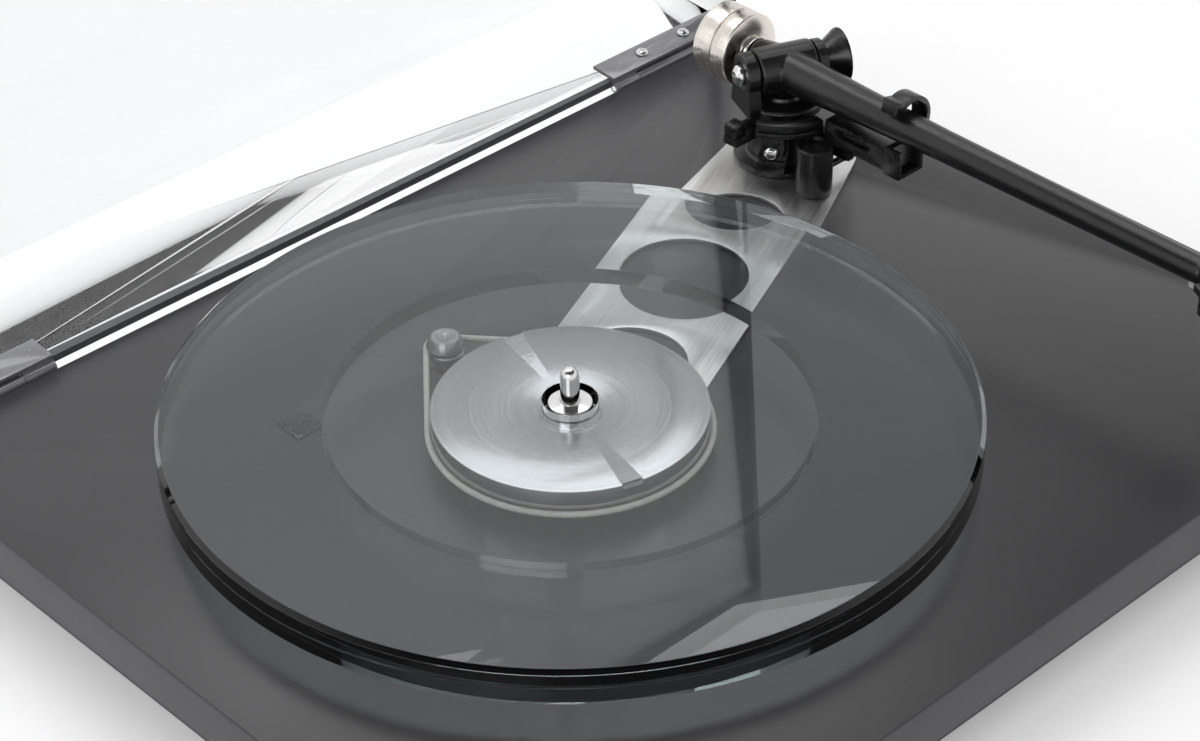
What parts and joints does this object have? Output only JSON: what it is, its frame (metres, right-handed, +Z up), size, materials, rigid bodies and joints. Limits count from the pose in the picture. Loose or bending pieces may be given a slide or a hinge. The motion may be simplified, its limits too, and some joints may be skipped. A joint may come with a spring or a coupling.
{
  "type": "turntable record player",
  "caption": "Belt-driven record player with a two-layer glass platter, a thin plinth, a balanced tonearm and a hinged clear lid, shown open.",
  "frame": {"origin": "centre of the whole object's box, at the height of the feet's undersides, with the lid open", "axes": "+X to the player's right (the tonearm's side), +Y to its rear (the lid's hinges), +Z up"},
  "size_m": [0.4504, 0.4324, 0.405],
  "materials": {
    "acrylic": "clear acrylic",
    "belt": "pale round rubber",
    "black_metal": "satin black coat",
    "black_plastic": "moulded black",
    "board": "solder-masked board",
    "brass": "turned",
    "brushed": "brushed",
    "core": "light particle core",
    "edge": "satin edge band",
    "glass": "clear polished float glass",
    "grey_plastic": "glossy grey moulding",
    "laminate": "satin laminate",
    "machined": "satin machined",
    "polished": "polished",
    "rubber": "moulded rubber",
    "steel": "turned stainless steel"
  },
  "bodies": {
    "base": {"plinth_core": "core", "plinth_top_skin": "laminate", "plinth_bottom_skin": "laminate", "plinth_edge_band": "edge", "plinth_plug": "black_plastic", "upper_brace": "brushed", "lower_brace": "brushed", "bearing_housing": "brass", "bearing_ball": "polished", "motor_body": "steel", "motor_cover": "black_plastic", "drive_belt": "belt", "foot_front_left": "rubber", "foot_front_right": "rubber", "foot_rear": "rubber", "board_cover": "black_plastic", "control_board": "board", "power_inlet": "black_plastic", "switch_housing": "black_plastic", "hinge_bracket_left": "grey_plastic", "hinge_bracket_right": "grey_plastic", "hinge_pin_left": "polished", "hinge_pin_right": "polished", "arm_pillar": "black_metal", "arm_nut": "machined", "lift_cylinder": "black_metal", "rest_bar": "black_plastic", "bias_housing": "black_plastic", "bias_screw": "polished"},
    "platter": {"sub_platter": "machined", "spindle_hub": "polished", "platter_disc": "glass", "platter_ring": "glass"},
    "pulley": {"motor_pulley": "polished", "motor_shaft": "polished"},
    "lid": {"lid": "acrylic", "lid_plate_left": "grey_plastic", "lid_plate_right": "grey_plastic", "lid_screw_1": "polished", "lid_screw_2": "polished", "lid_screw_3": "polished", "lid_screw_4": "polished", "lid_bumper": "rubber"},
    "yoke": {"yoke": "black_metal", "bearing_bolt": "polished"},
    "force_dial": {"force_dial": "black_plastic"},
    "arm": {"arm_tube": "black_metal", "arm_stub": "polished", "cartridge": "black_plastic", "cartridge_screw_left": "polished", "cartridge_screw_right": "polished", "stylus": "grey_plastic", "head_wires": "belt"},
    "counterweight": {"counterweight": "steel"},
    "lift_platform": {"lift_platform": "black_metal"},
    "cue_lever": {"cue_lever": "black_metal"},
    "rest_clip": {"rest_clip": "black_plastic"},
    "bias_slider": {"bias_slider": "black_plastic"},
    "power_rocker": {"power_rocker": "grey_plastic"}
  },
  "joints": [
    {"name": "platter_spin", "type": "hinge", "parent": "base", "child": "platter", "pos_m": [-0.0459, -0.03297, 0.038], "axis": [0, 0, -1], "continuous": true},
    {"name": "pulley_spin", "type": "hinge", "parent": "base", "child": "pulley", "pos_m": [-0.0459, 0.03603, 0.038], "axis": [0, 0, -1], "continuous": true},
    {"name": "lid_hinge", "type": "hinge", "parent": "base", "child": "lid", "pos_m": [0, 0.14683, 0.038], "axis": [1, 0, 0], "range_deg": [0, 86]},
    {"name": "arm_swing", "type": "hinge", "parent": "base", "child": "yoke", "pos_m": [0.1581, 0.05554, 0.038], "axis": [0, 0, 1], "range_deg": [-53, 0]},
    {"name": "arm_tilt", "type": "hinge", "parent": "yoke", "child": "arm", "pos_m": [0.1581, 0.05554, 0.082], "axis": [-0.9198, 0.3923, 0], "range_deg": [0, 1.6]},
    {"name": "force_dial_turn", "type": "hinge", "parent": "yoke", "child": "force_dial", "pos_m": [0.1581, 0.05554, 0.082], "axis": [0.9198, -0.3923, 0], "range_deg": [-180, 90]},
    {"name": "counterweight_slide", "type": "slide", "parent": "arm", "child": "counterweight", "axis": [0, 1, 0], "range_m": [0, 0.004]},
    {"name": "cue_lever_turn", "type": "hinge", "parent": "base", "child": "cue_lever", "pos_m": [0.1581, 0.02653, 0.048], "axis": [1, 0, 0], "range_deg": [0, 40]},
    {"name": "lift_rise", "type": "slide", "parent": "base", "child": "lift_platform", "axis": [0, 0, 1], "range_m": [0, 0.0036]},
    {"name": "rest_clip_turn", "type": "hinge", "parent": "base", "child": "rest_clip", "pos_m": [0.1691, -0.00996, 0.077], "axis": [0, 1, 0], "range_deg": [-13, 75]},
    {"name": "bias_slide", "type": "slide", "parent": "base", "child": "bias_slider", "axis": [-1, 0, 0], "range_m": [-0.001, 0.003]},
    {"name": "power_rock", "type": "hinge", "parent": "base", "child": "power_rocker", "pos_m": [-0.1452, -0.20217, 0.0117], "axis": [0, 1, 0], "range_deg": [-6, 6]}
  ],
  "couplings": [
    {"joint": "pulley_spin", "follows": "platter_spin", "ratio": 7},
    {"joint": "lift_rise", "follows": "cue_lever_turn", "m_per_rad": 0.0051566}
  ]
}
